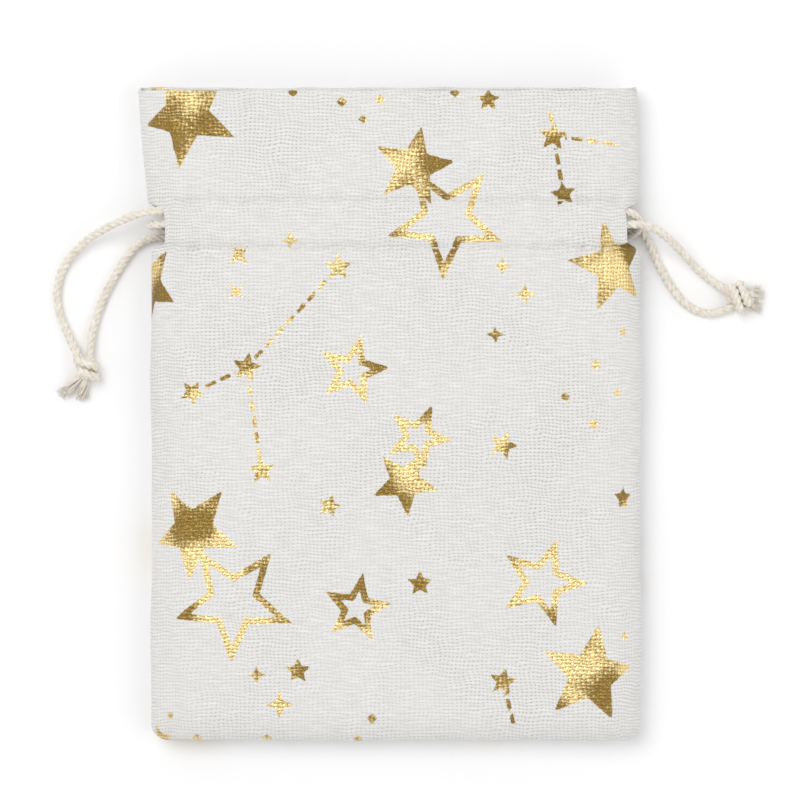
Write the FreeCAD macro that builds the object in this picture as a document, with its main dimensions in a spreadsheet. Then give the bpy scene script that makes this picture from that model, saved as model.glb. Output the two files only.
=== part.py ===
"""A fabric gift sack: a flat cotton pouch with a turned-in header, a drawstring channel and two cords.

It lies on its back: +X to the right, +Y towards the mouth, +Z up. Each panel is half of a pillow
section, and the halves meet at the side seams at mid height. Lengths are in millimetres.
"""

import FreeCAD
import Part
import Sketcher
import math
import os

NEAR = 0.01  # two heights or places this close, in mm, are the same

doc = FreeCAD.newDocument("GiftSack")

SIZES = [
    # cloth
    ("cloth", 0.45, "thickness of one layer of cotton cloth"),
    ("sack_width", 100.0, "width of the pouch over the side seams"),
    ("pouch_depth", 101.4, "bottom seam to the lower channel stitch line"),
    ("channel_width", 8.2, "between the two channel stitch lines"),
    ("header_height", 23.4, "upper channel stitch line to the top fold of the front"),
    ("header_flare", 0.5, "how far the header's sides stand out past the pouch's"),
    ("back_rise", 1.0, "how far the back header stands above the front one"),
    ("mouth_gap", 4.4, "room between the two facings at the channel"),
    ("side_round", 3.0, "rounding of the cloth along the sides and the bottom"),
    ("corner_round", 3.6, "plan radius of the bottom corners"),
    ("notch_depth", 2.4, "how far the channel ends stand in from the side seams"),
    ("facing_inset", 1.1, "facing edge to the flat of the header, on each side"),
    ("facing_tail", 1.5, "facing below the lower stitch line"),
    ("allowance", 4.0, "width of the turned-in seam allowances"),
    ("seam_gap", 0.4, "end gap of each turned-in allowance"),
    # thread
    ("stitch_length", 2.2, "one visible stitch"),
    ("stitch_pitch", 3.2, "from one stitch to the next"),
    ("thread", 0.3, "thickness of the sewing thread"),
    # cord
    ("cord", 1.8, "diameter of the cotton cord"),
    ("cord_play", 0.15, "clearance of the cord to the cloth above and below it"),
    ("cord_side_play", 0.5, "clearance of the left cord's runs to the stitch lines"),
    ("loop_inset", 1.2, "the far loops begin this far inside the channel's ends"),
    ("exit_inset", 0.6, "the free strands begin this far inside the channel's ends"),
]

sheet = doc.addObject("Spreadsheet::Sheet", "Sizes")
for row, (alias, value, note) in enumerate(SIZES, start=1):
    sheet.set(f"A{row}", alias)
    sheet.set(f"B{row}", str(value))
    sheet.setAlias(f"B{row}", alias)
    sheet.set(f"C{row}", note)

DERIVED = [
    ("play_gap", "=cord + 2 * cord_play", "clear height of the channel"),
    ("height", "=4 * cloth + 2 * play_gap + mouth_gap", "outside height of the sack"),
    ("seam_z", "=height / 2", "height of the side seams"),
    ("top_y", "=(pouch_depth + channel_width + header_height - back_rise) / 2", "front top fold"),
    ("upper_y", "=top_y - header_height", "upper stitch line"),
    ("lower_y", "=upper_y - channel_width", "lower stitch line"),
    ("bottom_y", "=lower_y - pouch_depth", "bottom seam"),
    ("channel_y", "=(upper_y + lower_y) / 2", "middle of the channel"),
    ("neck_half", "=sack_width / 2 - notch_depth", "half width of the cloth at the channel"),
    ("header_width", "=sack_width + 2 * header_flare", "width of the header"),
    ("facing_half", "=header_width / 2 - side_round - facing_inset", "half width of the facings"),
    ("cord_spread", "=(channel_width - cord) / 2 - cord_side_play", "left cord to right cord"),
    ("loop_start", "=neck_half - loop_inset", "where the far loops begin"),
    ("cord_exit", "=neck_half - exit_inset", "where the free strands begin"),
]
for row, (alias, formula, note) in enumerate(DERIVED, start=len(SIZES) + 1):
    sheet.set(f"A{row}", alias)
    sheet.set(f"B{row}", formula)
    sheet.setAlias(f"B{row}", alias)
    sheet.set(f"C{row}", note)
doc.recompute()

parts = []


def size(alias):
    """A dimension of the sheet, in mm."""
    return float(getattr(sheet, alias))


def body(label):
    """An empty PartDesign body that is written to parts/LABEL.step."""
    item = doc.addObject("PartDesign::Body", label)
    item.Label = label
    parts.append(item)
    return item


def plane(item, role):
    """The origin plane of a body with this role, such as XY_Plane."""
    return next(f for f in item.Origin.OriginFeatures if f.Role == role)


def sketch_on(item, role, name, offset=None):
    """A sketch on one of a body's own origin planes, moved along its normal by an expression."""
    sketch = item.newObject("Sketcher::SketchObject", name)
    sketch.AttachmentSupport = (plane(item, role), [""])
    sketch.MapMode = "FlatFace"
    if offset:
        sketch.setExpression("AttachmentOffset.Base.z", offset)
    return sketch


def outline(sketch, points):
    """Closes a polyline through named corners. Each corner is a pair of sheet expressions, held as
    a horizontal and a vertical distance from the sketch origin."""
    spots = []
    for across, up in points:
        spots.append(FreeCAD.Vector(evaluate(across), evaluate(up), 0))
    count = len(spots)
    for i in range(count):
        sketch.addGeometry(Part.LineSegment(spots[i], spots[(i + 1) % count]), False)
    for i in range(count):
        sketch.addConstraint(Sketcher.Constraint("Coincident", i, 2, (i + 1) % count, 1))
    for i, (across, up) in enumerate(points):
        for kind, formula, value in (
            ("DistanceX", across, spots[i].x),
            ("DistanceY", up, spots[i].y),
        ):
            index = sketch.addConstraint(Sketcher.Constraint(kind, -1, 1, i, 1, value))
            sketch.setExpression(f"Constraints[{index}]", formula)


def evaluate(formula):
    """The value of a sheet expression such as Sizes.cloth * 2, in mm."""
    return float(sheet.evalExpression(formula))


def prism(item, sketch, length, name, mid=False, back=False):
    """A pad of the sketch, as long as a sheet expression says."""
    pad = item.newObject("PartDesign::Pad", name)
    pad.Profile = sketch
    pad.setExpression("Length", length)
    pad.Midplane = mid
    pad.Reversed = back
    return pad


def edges_where(feature, keep):
    """The names of the feature's edges whose middle point passes a test."""
    names = []
    for i, edge in enumerate(feature.Shape.Edges, start=1):
        middle = edge.valueAt((edge.FirstParameter + edge.LastParameter) / 2)
        if keep(edge, middle):
            names.append(f"Edge{i}")
    return names


def faces_where(feature, keep):
    """The names of the feature's faces whose centre passes a test."""
    return [f"Face{i}" for i, f in enumerate(feature.Shape.Faces, start=1) if keep(f.CenterOfMass)]


# ---------------------------------------------------------------- cloth


def pouch_panel(label, front):
    """Half of the pouch below the channel: a shallow tray with rounded edges, open at the seam
    plane and at the neck."""
    item = body(label)
    sketch = sketch_on(item, "XY_Plane", label + "_outline", "Sizes.seam_z")
    half = "Sizes.sack_width / 2"
    outline(
        sketch,
        [
            (f"-{half}", "Sizes.bottom_y"),
            (half, "Sizes.bottom_y"),
            (half, "Sizes.lower_y"),
            (f"-{half}", "Sizes.lower_y"),
        ],
    )
    pad = prism(item, sketch, "Sizes.height / 2", label + "_block", back=not front)
    doc.recompute()
    outer_z = size("height") if front else 0.0

    def is_upright_corner(edge, middle):
        upright = abs(edge.Vertexes[0].Z - edge.Vertexes[-1].Z) > NEAR
        return upright and abs(middle.y - size("bottom_y")) < NEAR

    def is_outer_rim(edge, middle):
        return abs(middle.z - outer_z) < NEAR and middle.y < size("lower_y") - NEAR

    def is_open_side(centre):
        return abs(centre.z - size("seam_z")) < NEAR or abs(centre.y - size("lower_y")) < NEAR

    corner = item.newObject("PartDesign::Fillet", label + "_corners")
    corner.Base = (pad, edges_where(pad, is_upright_corner))
    corner.setExpression("Radius", "Sizes.corner_round")
    doc.recompute()
    round_over = item.newObject("PartDesign::Fillet", label + "_rounding")
    round_over.Base = (corner, edges_where(corner, is_outer_rim))
    round_over.setExpression("Radius", "Sizes.side_round")
    doc.recompute()
    hollow = item.newObject("PartDesign::Thickness", label + "_hollow")
    hollow.Base = (round_over, faces_where(round_over, is_open_side))
    hollow.setExpression("Value", "Sizes.cloth")
    hollow.Reversed = True
    hollow.Mode = 0
    hollow.Join = 0
    item.Tip = hollow
    doc.recompute()
    return item


def half_section(front, half_width, thickness, side_round, seam_z, height):
    """The outline of one half of the pillow section in X and Z, as a wire: walls that rise from
    the seam plane, a quarter round and the flat, with the inner line one layer inside."""
    sign = 1.0 if front else -1.0
    flat_z = height / 2

    def place(x, z):
        return FreeCAD.Vector(x, 0, seam_z + sign * z)

    def arc(cx, cz, radius, side):
        a = place(cx + side * radius, cz)
        b = place(cx + side * radius * math.sqrt(0.5), cz + radius * math.sqrt(0.5))
        c = place(cx, cz + radius)
        return a, b, c

    centre_x = half_width - side_round
    centre_z = flat_z - side_round
    outer_a, outer_b, outer_c = arc(centre_x, centre_z, side_round, 1)
    outer_d, outer_e, outer_f = arc(-centre_x, centre_z, side_round, -1)
    inner = side_round - thickness
    inner_a, inner_b, inner_c = arc(centre_x, centre_z, inner, 1)
    inner_d, inner_e, inner_f = arc(-centre_x, centre_z, inner, -1)
    right_out, right_in = place(half_width, 0), place(half_width - thickness, 0)
    left_out, left_in = place(-half_width, 0), place(-half_width + thickness, 0)
    edges = [
        Part.LineSegment(right_out, outer_a),
        Part.Arc(outer_a, outer_b, outer_c),
        Part.LineSegment(outer_c, outer_f),
        Part.Arc(outer_f, outer_e, outer_d),
        Part.LineSegment(outer_d, left_out),
        Part.LineSegment(left_out, left_in),
        Part.LineSegment(left_in, inner_d),
        Part.Arc(inner_d, inner_e, inner_f),
        Part.LineSegment(inner_f, inner_c),
        Part.Arc(inner_c, inner_b, inner_a),
        Part.LineSegment(inner_a, right_in),
        Part.LineSegment(right_in, right_out),
    ]
    return Part.Wire([e.toShape() for e in edges])


def shape_part(label, shape):
    """A sub-part whose shape is made by Part's own functions from the sheet's sizes."""
    item = doc.addObject("Part::Feature", label)
    item.Label = label
    item.Shape = shape
    item.Placement = FreeCAD.Placement()
    parts.append(item)
    return item


def neck_panel(label, front):
    """The header and the channel's outer layer: an open section above the channel, and between
    the stitch lines only its flat, cut back at both sides where the cords come out."""
    section = half_section(
        front,
        size("header_width") / 2,
        size("cloth"),
        size("side_round"),
        size("seam_z"),
        size("height"),
    )
    rise = 0.0 if front else size("back_rise")
    length = size("channel_width") + size("header_height") + rise
    whole = Part.Face(section).extrude(FreeCAD.Vector(0, length, 0))
    whole.translate(FreeCAD.Vector(0, size("lower_y"), 0))
    beyond = size("header_width")
    for side in (-1, 1):
        edge = side * size("neck_half")
        corner = FreeCAD.Vector(min(edge, edge + side * beyond), size("lower_y") - 1, -1)
        notch = Part.makeBox(beyond, size("channel_width") + 1, size("height") + 2, corner)
        whole = whole.cut(notch)
    return shape_part(label, whole.Solids[0])


def facing(label, front):
    """The header's turned-in layer. It lies against the outer cloth above the upper stitch line
    and below the lower one, and stands off it between them to make the channel."""
    item = body(label)
    sketch = sketch_on(item, "YZ_Plane", label + "_profile")
    rise = "" if front else " + Sizes.back_rise"
    top = "Sizes.top_y" + rise
    end = "Sizes.lower_y - Sizes.facing_tail"

    def level(depth):
        """A height that lies this deep under the outside of the sack."""
        return f"Sizes.height - ({depth})" if front else depth

    against = level("Sizes.cloth")
    inside = level("2 * Sizes.cloth")
    channel = level("Sizes.cloth + Sizes.play_gap")
    under = level("2 * Sizes.cloth + Sizes.play_gap")
    outline(
        sketch,
        [
            (top, against),
            ("Sizes.upper_y", against),
            ("Sizes.upper_y", channel),
            ("Sizes.lower_y", channel),
            ("Sizes.lower_y", against),
            (end, against),
            (end, inside),
            ("Sizes.lower_y - Sizes.cloth", inside),
            ("Sizes.lower_y - Sizes.cloth", under),
            ("Sizes.upper_y + Sizes.cloth", under),
            ("Sizes.upper_y + Sizes.cloth", inside),
            (top, inside),
        ],
    )
    prism(item, sketch, "2 * Sizes.facing_half", label + "_cloth", mid=True)
    doc.recompute()
    return item


def seam_strip(label, x, y, length_x, length_y):
    """Two seam allowances lying face to face inside the sack, at the height of the side seams."""
    item = doc.addObject("Part::Box", label)
    item.Label = label
    item.setExpression("Length", length_x)
    item.setExpression("Width", length_y)
    item.setExpression("Height", "2 * Sizes.cloth")
    item.setExpression("Placement.Base.x", x)
    item.setExpression("Placement.Base.y", y)
    item.setExpression("Placement.Base.z", "Sizes.seam_z - Sizes.cloth")
    parts.append(item)
    return item


def stitches(label, start, end, z):
    """A row of separate stitches between two points, each a rounded bar of thread that lies on
    the cloth with its flat underside at height z."""
    run = FreeCAD.Vector(end[0] - start[0], end[1] - start[1], 0)
    along = FreeCAD.Vector(run).normalize()
    count = int((run.Length - size("stitch_length")) / size("stitch_pitch")) + 1
    used = (count - 1) * size("stitch_pitch") + size("stitch_length")
    first = (run.Length - used) / 2
    across = FreeCAD.Vector(-along.y, along.x, 0)
    thread = size("thread")
    bars = []
    for i in range(count):
        begin = FreeCAD.Vector(start[0], start[1], z) + along * (first + i * size("stitch_pitch"))
        left = begin - across * (thread / 2)
        right = begin + across * (thread / 2)
        crown = begin + FreeCAD.Vector(0, 0, thread / 2)
        arch = Part.Wire([Part.Arc(right, crown, left).toShape(), Part.makeLine(left, right)])
        bars.append(Part.Face(arch).extrude(along * size("stitch_length")))
    return shape_part(label, Part.makeCompound(bars))


# ---------------------------------------------------------------- cord


def route_wire(points, label):
    """Straight runs joined by tangent arcs through hand-chosen points. Each arc takes 0.45 of the
    shorter of its two runs. Returns the wire, its length and the tightest radius."""
    share = 0.45
    spots = [FreeCAD.Vector(*p) for p in points]
    edges = []
    radii = []
    last = spots[0]
    for i in range(1, len(spots) - 1):
        into = spots[i] - spots[i - 1]
        out = spots[i + 1] - spots[i]
        reach = share * min(into.Length, out.Length)
        turn = into.getAngle(out)
        radius = reach / math.tan(turn / 2)
        begin = spots[i] - FreeCAD.Vector(into).normalize() * reach
        end = spots[i] + FreeCAD.Vector(out).normalize() * reach
        inward = FreeCAD.Vector(out).normalize() - FreeCAD.Vector(into).normalize()
        inward.normalize()
        to_centre = radius / math.cos(turn / 2)
        middle = spots[i] + inward * (to_centre - radius)
        edges.append(Part.makeLine(last, begin))
        edges.append(Part.Arc(begin, middle, end).toShape())
        radii.append(radius)
        last = end
    edges.append(Part.makeLine(last, spots[-1]))
    wire = Part.Wire(edges)
    if radii:
        shown = " ".join(f"{r:.1f}" for r in radii)
        print(f"{label}: length {wire.Length:.1f} mm, radii {shown} mm")
    else:
        print(f"{label}: length {wire.Length:.1f} mm, straight")
    return wire


def tube(label, wire):
    """A round cord along a wire."""
    first = wire.Edges[0]
    start = first.valueAt(first.FirstParameter)
    along = first.tangentAt(first.FirstParameter)
    circle = Part.Circle(start, along, size("cord") / 2)
    profile = Part.Wire([circle.toShape()])
    solid = wire.makePipeShell([profile], True, False)
    ideal = math.pi * (size("cord") / 2) ** 2 * wire.Length
    if abs(solid.Volume / ideal - 1) > 0.02:
        raise ValueError(f"{label}: volume {solid.Volume:.2f}, section times length {ideal:.2f}")
    return shape_part(label, solid)


def channel_run(label, side, front_y, back_y):
    """The held stretch of a cord: in at its own side through the front channel, round the other
    side in half a turn, and back out through the back channel. side is +1 for a cord whose ends
    come out on the right."""
    lift = size("cloth") + size("cord_play") + size("cord") / 2
    front = FreeCAD.Vector(0, front_y, size("height") - lift)
    back = FreeCAD.Vector(0, back_y, lift)
    exit_x = FreeCAD.Vector(side * size("cord_exit"), 0, 0)
    turn_x = FreeCAD.Vector(-side * size("loop_start"), 0, 0)
    reach = FreeCAD.Vector(-side * (front - back).Length / 2, 0, 0)
    wire = Part.Wire(
        [
            Part.makeLine(front + exit_x, front + turn_x),
            Part.Arc(front + turn_x, (front + back) / 2 + turn_x + reach, back + turn_x).toShape(),
            Part.makeLine(back + turn_x, back + exit_x),
        ]
    )
    print(f"{label}: length {wire.Length:.1f} mm, radius {(front - back).Length / 2:.1f} mm")
    return tube(label, wire)


def knot(label, centre, half):
    """An overhand knot as one rounded lump with these half sizes."""
    place = FreeCAD.Matrix()
    place.A11, place.A22, place.A33 = half
    place.A14, place.A24, place.A34 = centre
    return shape_part(label, Part.makeSphere(1.0).transformGeometry(place))


# ---------------------------------------------------------------- the sack

HALF = "Sizes.sack_width / 2"
HEADER = "Sizes.header_width / 2"

pouch_panel("front_panel", True)
pouch_panel("back_panel", False)
neck_panel("front_neck", True)
neck_panel("back_neck", False)
facing("front_facing", True)
facing("back_facing", False)

pouch_length = "Sizes.pouch_depth - Sizes.corner_round - Sizes.seam_gap"
pouch_start = "Sizes.bottom_y + Sizes.corner_round"
neck_length = "Sizes.header_height - 2 * Sizes.seam_gap - Sizes.cloth"
neck_start = "Sizes.upper_y + Sizes.cloth + Sizes.seam_gap"
inner_left = f"-{HALF} + Sizes.cloth"
inner_right = f"{HALF} - Sizes.cloth - Sizes.allowance"
seam_strip("left_side_seam", inner_left, pouch_start, "Sizes.allowance", pouch_length)
seam_strip("right_side_seam", inner_right, pouch_start, "Sizes.allowance", pouch_length)
seam_strip(
    "bottom_seam",
    f"{inner_left} + Sizes.allowance + Sizes.seam_gap",
    "Sizes.bottom_y + Sizes.cloth",
    "Sizes.sack_width - 2 * (Sizes.cloth + Sizes.allowance + Sizes.seam_gap)",
    "Sizes.allowance",
)
neck_left = f"-{HEADER} + Sizes.cloth"
neck_right = f"{HEADER} - Sizes.cloth - Sizes.allowance"
seam_strip("left_neck_seam", neck_left, neck_start, "Sizes.allowance", neck_length)
seam_strip("right_neck_seam", neck_right, neck_start, "Sizes.allowance", neck_length)

strip_top = size("seam_z") + size("cloth")
seam_in = size("cloth") + size("thread") * 2
side_x = size("sack_width") / 2 - seam_in
side_low = evaluate(pouch_start)
side_high = size("lower_y") - size("seam_gap")
for name, sign in (("left", -1), ("right", 1)):
    line = sign * side_x
    stitches(name + "_side_stitching", (line, side_low), (line, side_high), strip_top)
    line = sign * (size("header_width") / 2 - seam_in)
    low = evaluate(neck_start)
    stitches(name + "_neck_stitching", (line, low), (line, low + evaluate(neck_length)), strip_top)
bottom_line = size("bottom_y") + seam_in
bottom_half = side_x - size("allowance") - seam_in
stitches("bottom_stitching", (-bottom_half, bottom_line), (bottom_half, bottom_line), strip_top)

row_half = size("facing_half")
row_shift = size("cloth") + size("thread")
for name, line in (("upper", size("upper_y") + row_shift), ("lower", size("lower_y") - row_shift)):
    ends = (-row_half, line), (row_half, line)
    stitches(f"front_channel_{name}_stitching", *ends, size("height"))
    stitches(f"back_channel_{name}_stitching", *ends, 2 * size("cloth"))

middle_y = size("channel_y")
high_y = middle_y + size("cord_spread")
low_y = middle_y - size("cord_spread")
lift_z = size("cloth") + size("cord_play") + size("cord") / 2
front_z = size("height") - lift_z

channel_run("left_cord_channel_run", -1, high_y, low_y)
channel_run("right_cord_channel_run", 1, middle_y, middle_y)

# Each point: how far out of the cord's exit, how far past the middle of the channel, and its height.
LEFT_UPPER = [
    (0.0, high_y - middle_y, front_z),
    (4.4, high_y - middle_y, front_z),
    (10.4, 0.4, 6.2),
    (16.8, -2.9, 2.4),
    (21.9, -8.7, 0.95),
    (23.0, -15.7, 0.95),
    (20.0, -22.7, 1.4),
    (17.7, -28.1, 2.5),
]
LEFT_LOWER = [
    (0.0, low_y - middle_y, lift_z),
    (3.6, low_y - middle_y, lift_z),
    (6.8, -4.3, 1.3),
    (9.9, -8.8, 1.0),
    (12.9, -14.5, 0.95),
    (15.2, -21.3, 1.1),
    (15.6, -27.9, 2.2),
]
RIGHT_UPPER = [
    (0.0, 0.0, front_z),
    (3.6, 0.0, front_z),
    (7.4, -1.7, 7.5),
    (11.3, -5.3, 4.6),
    (16.2, -10.5, 1.6),
    (22.0, -14.1, 2.4),
]
RIGHT_LOWER = [
    (0.0, 0.0, lift_z),
    (3.4, 0.0, lift_z),
    (6.6, -1.5, 1.35),
    (9.0, -4.9, 1.05),
    (10.2, -9.9, 0.95),
    (13.0, -14.9, 0.95),
    (17.8, -17.7, 0.95),
    (22.4, -16.9, 1.7),
]
LEFT_FIRST_TAIL = [(18.0, -30.9, 2.2), (21.6, -34.9, 1.0)]
LEFT_SECOND_TAIL = [(15.9, -31.3, 1.8), (17.6, -35.8, 0.95)]
RIGHT_FIRST_TAIL = [(26.0, -14.1, 2.2), (29.6, -12.6, 1.0)]
RIGHT_SECOND_TAIL = [(25.4, -17.3, 1.8), (28.8, -18.3, 0.95)]
LEFT_KNOT = (16.6, -29.6, 2.4)
RIGHT_KNOT = (24.0, -15.3, 2.6)
LEFT_KNOT_HALF = (2.9, 2.5, 2.4)
RIGHT_KNOT_HALF = (3.2, 3.2, 2.6)


def placed(side, point):
    """A route point in the sack's own frame. side is -1 for the left cord and +1 for the right."""
    out, past, up = point
    return side * (size("cord_exit") + out), middle_y + past, up


for side, name, routes in (
    (-1, "left", (LEFT_UPPER, LEFT_LOWER, LEFT_FIRST_TAIL, LEFT_SECOND_TAIL)),
    (1, "right", (RIGHT_UPPER, RIGHT_LOWER, RIGHT_FIRST_TAIL, RIGHT_SECOND_TAIL)),
):
    for piece, points in zip(("upper_strand", "lower_strand", "first_tail", "second_tail"), routes):
        label = f"{name}_cord_{piece}"
        tube(label, route_wire([placed(side, p) for p in points], label))
knot("left_cord_knot", placed(-1, LEFT_KNOT), LEFT_KNOT_HALF)
knot("right_cord_knot", placed(1, RIGHT_KNOT), RIGHT_KNOT_HALF)

# ---------------------------------------------------------------- checks and files

doc.recompute()
for item in doc.Objects:
    bad = [s for s in item.State if s in ("Invalid", "Error")]
    if bad:
        raise ValueError(f"{item.Name}: {bad}")
os.makedirs("parts", exist_ok=True)
for item in parts:
    if item.Shape.isNull() or not item.Shape.isValid() or not item.Shape.Solids:
        raise ValueError(f"{item.Label}: its shape is empty or not valid")
    item.Shape.exportStep(f"parts/{item.Label}.step")
    box = item.Shape.BoundBox
    print(
        f"{item.Label}: {len(item.Shape.Solids)} solids, {item.Shape.Volume:.1f} mm3, "
        f"x {box.XMin:.1f}..{box.XMax:.1f} y {box.YMin:.1f}..{box.YMax:.1f} "
        f"z {box.ZMin:.2f}..{box.ZMax:.2f}"
    )
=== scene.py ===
"""Looks of the fabric gift sack: printed cotton, twisted cords, knots, stitches and a plain stage."""

import bpy
import numpy as np
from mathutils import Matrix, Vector


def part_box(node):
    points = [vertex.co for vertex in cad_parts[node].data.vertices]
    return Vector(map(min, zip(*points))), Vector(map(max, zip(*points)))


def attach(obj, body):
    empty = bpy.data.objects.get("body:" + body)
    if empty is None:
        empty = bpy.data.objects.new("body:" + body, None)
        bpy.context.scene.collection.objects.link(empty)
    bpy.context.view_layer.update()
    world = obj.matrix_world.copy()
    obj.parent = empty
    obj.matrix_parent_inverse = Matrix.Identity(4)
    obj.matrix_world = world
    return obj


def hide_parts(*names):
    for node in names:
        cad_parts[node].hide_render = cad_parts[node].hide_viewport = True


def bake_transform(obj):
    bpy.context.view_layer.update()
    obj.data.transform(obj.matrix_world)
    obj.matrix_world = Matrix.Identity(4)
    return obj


bl_info = {
    "name": "Fabric gift sack",
    "version": (1, 0, 0),
    "blender": (4, 5, 0),
    "location": "3D View > Sidebar > Gift Sack",
    "description": "Makes the cloth, foil, cords, knots and stitching of a small drawstring gift sack",
    "category": "Add Mesh",
}

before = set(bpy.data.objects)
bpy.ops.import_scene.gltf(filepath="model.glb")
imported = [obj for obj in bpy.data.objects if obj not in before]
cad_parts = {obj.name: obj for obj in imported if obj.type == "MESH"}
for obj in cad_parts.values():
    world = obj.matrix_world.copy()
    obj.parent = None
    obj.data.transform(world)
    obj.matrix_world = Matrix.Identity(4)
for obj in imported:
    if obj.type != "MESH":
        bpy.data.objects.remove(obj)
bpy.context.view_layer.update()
MM = 0.001


def box_mm(node):
    """Lowest and highest corners of a CAD node, in millimetres."""
    low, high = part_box(node)
    return np.array(low) / MM, np.array(high) / MM


def middle_y(node):
    """Half way between a CAD node's lowest and highest y."""
    low, high = box_mm(node)
    return float((low[1] + high[1]) / 2)


FRONT_LOW, FRONT_HIGH = box_mm("front_panel")
NECK_HIGH = box_mm("front_neck")[1]
BACK_NECK_HIGH = box_mm("back_neck")[1]
UPPER_ROW_Y = middle_y("front_channel_upper_stitching")
LOWER_ROW_Y = middle_y("front_channel_lower_stitching")
FACING_HALF = float(box_mm("front_facing")[1][0])

HALF_WIDTH = float(FRONT_HIGH[0])  # of the pouch
HEADER_HALF = float(NECK_HIGH[0])
BOTTOM_Y = float(FRONT_LOW[1])
FRONT_Z = float(FRONT_HIGH[2])  # the sack lies on its back at z 0
SEAM_Z = FRONT_Z / 2
MOUTH_Y = {"front": float(NECK_HIGH[1]), "back": float(BACK_NECK_HIGH[1])}
CHANNEL_Y = (UPPER_ROW_Y + LOWER_ROW_Y) / 2  # the line that the cords draw in

# Points of each cord from knot to knot: upper strand inwards, round the channel, lower strand outwards.
LEFT_UPPER = [
    (-63.9, 8.6, 2.5), (-65.3, 12.0, 2.2), (-67.6, 16.6, 1.3), (-70.0, 22.8, 0.95), (-68.9, 29.8, 0.95),
    (-63.8, 35.6, 2.4), (-57.4, 38.9, 6.2), (-51.4, 41.2, 8.9), (-47.0, 41.2, 8.9),
]
LEFT_ROUND = [
    (-36.0, 41.2, 8.9), (36.0, 41.2, 8.9), (45.2, 41.2, 8.9), (47.1, 41.2, 8.9), (49.8, 39.6, 6.7),
    (49.8, 37.4, 3.7), (47.1, 36.0, 1.6), (45.2, 36.0, 1.6), (36.0, 36.0, 1.6), (-36.0, 36.0, 1.6),
]
LEFT_LOWER = [
    (-47.0, 36.0, 1.6), (-50.6, 36.0, 1.6), (-53.8, 34.2, 1.3), (-56.9, 29.7, 1.0),
    (-60.2, 23.8, 0.95), (-62.3, 17.4, 1.1), (-62.9, 12.0, 2.0), (-63.3, 8.6, 2.4),
]
RIGHT_UPPER = [
    (70.2, 23.6, 2.5), (67.4, 25.4, 2.2), (62.9, 28.4, 1.6), (58.3, 33.2, 4.6), (54.4, 36.8, 7.5),
    (50.6, 38.5, 8.9), (47.0, 38.5, 8.9),
]
RIGHT_ROUND = [
    (36.0, 38.5, 8.9), (-36.0, 38.5, 8.9), (-46.4, 38.5, 8.9), (-47.9, 38.5, 8.9), (-50.1, 38.5, 6.7),
    (-50.1, 38.5, 3.7), (-47.9, 38.5, 1.5), (-46.4, 38.5, 1.5), (-36.0, 38.5, 1.5), (36.0, 38.5, 1.5),
]
RIGHT_LOWER = [
    (47.0, 38.5, 1.5), (50.2, 37.9, 1.4), (52.2, 34.6, 1.2), (53.9, 30.4, 1.0), (56.4, 25.9, 0.95),
    (59.6, 22.0, 0.95), (63.6, 20.2, 0.95), (67.4, 21.0, 1.2), (70.4, 22.9, 2.0),
]
CORD_EXIT_X = 47.0  # where the cords leave the channel
INSIDE_RUN = 5.0  # each free strand starts this far inside it

# Foil: (x, y, radius, direction of one point in degrees)
SOLID_STARS = [
    (-42.8, 60.8, 10.7, -97), (3.6, 50.2, 8.1, 79), (44.9, 30.1, 9.6, 102),
    (-41.6, -23.8, 9.8, 52), (39.6, -53.2, 10.2, 81), (1.8, -14.0, 6.7, -85),
]
LINE_STARS = [
    (10.2, 39.3, 12.0, -93), (-8.8, 8.7, 7.1, 77), (4.5, -4.8, 6.7, 66),
    (-33.1, -38.3, 12.3, -92), (-8.0, -39.7, 6.9, 80), (29.8, -34.4, 9.0, 71),
]
SMALL_STARS = [
    (-11.8, 29.7, 2.6, 90), (-30.4, 9.3, 2.9, 80), (-41.4, 4.2, 2.4, 60), (-27.4, -11.6, 2.6, 95),
    (-13.5, -18.9, 2.2, 75), (4.9, -34.6, 2.4, 90), (21.8, -6.5, 2.7, 70), (18.8, 64.0, 2.2, 90),
    (32.0, 56.4, 2.8, 85), (34.1, 44.6, 2.4, 100), (-20.0, -52.4, 2.4, 90), (21.8, -54.6, 2.6, 80),
    (47.4, -17.3, 2.4, 90),
]
DASHED_LINES = [  # from x and y to x and y
    (-11.8, 29.7, -30.4, 9.3), (-30.4, 9.3, -41.4, 4.2), (-30.4, 9.3, -27.4, -11.6),
    (31.0, 65.0, 32.0, 56.4), (32.0, 56.4, 34.1, 44.6), (32.0, 56.4, 49.2, 54.2),
    (21.8, -54.6, 24.7, -66.7),
]
DASH_PITCH = 3.2
DASH_HALF = 1.0  # half a dash's length
DASH_HALF_WIDTH = 0.27
DASH_CLEAR = 2.6  # bare cloth from a line's end to its first dash
BARE = 9.0  # foil distance of cloth that is far from any foil
SPARKLES = [
    (-32.0, 32.3, 2.3, 42), (-32.5, 24.8, 1.6, 45), (-28.4, -53.2, 1.6, 0), (-23.7, -59.3, 2.65, 0),
    (-21.6, 35.2, 1.7, 0), (26.3, 24.2, 2.0, 0), (21.6, 29.9, 1.6, 0), (20.2, 16.0, 1.6, 0),
]
DIAMONDS = [
    (-11.0, 63.6, 0.9, 0), (-3.3, 64.0, 0.9, 0), (-6.7, 59.9, 0.8, 0), (40.6, 9.9, 0.9, 0),
    (47.4, 16.6, 0.9, 0), (45.5, 4.2, 0.9, 0), (34.5, 3.4, 0.8, 0), (40.2, -2.2, 0.9, 0),
    (-21.0, 65.6, 0.9, 0), (12.0, 65.6, 0.9, 0), (-47.1, -61.6, 0.9, 0), (-40.6, -66.6, 0.9, 0),
    (-26.3, -66.6, 0.9, 0), (-4.9, -62.2, 0.9, 0), (-7.8, -66.6, 0.8, 0), (47.8, -45.4, 0.8, 0),
]
EDGE_STARS = [(-54.3, 26.3, 8.8, -24), (-51.0, -67.5, 4.0, 30)]


# --- Settings ---


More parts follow.
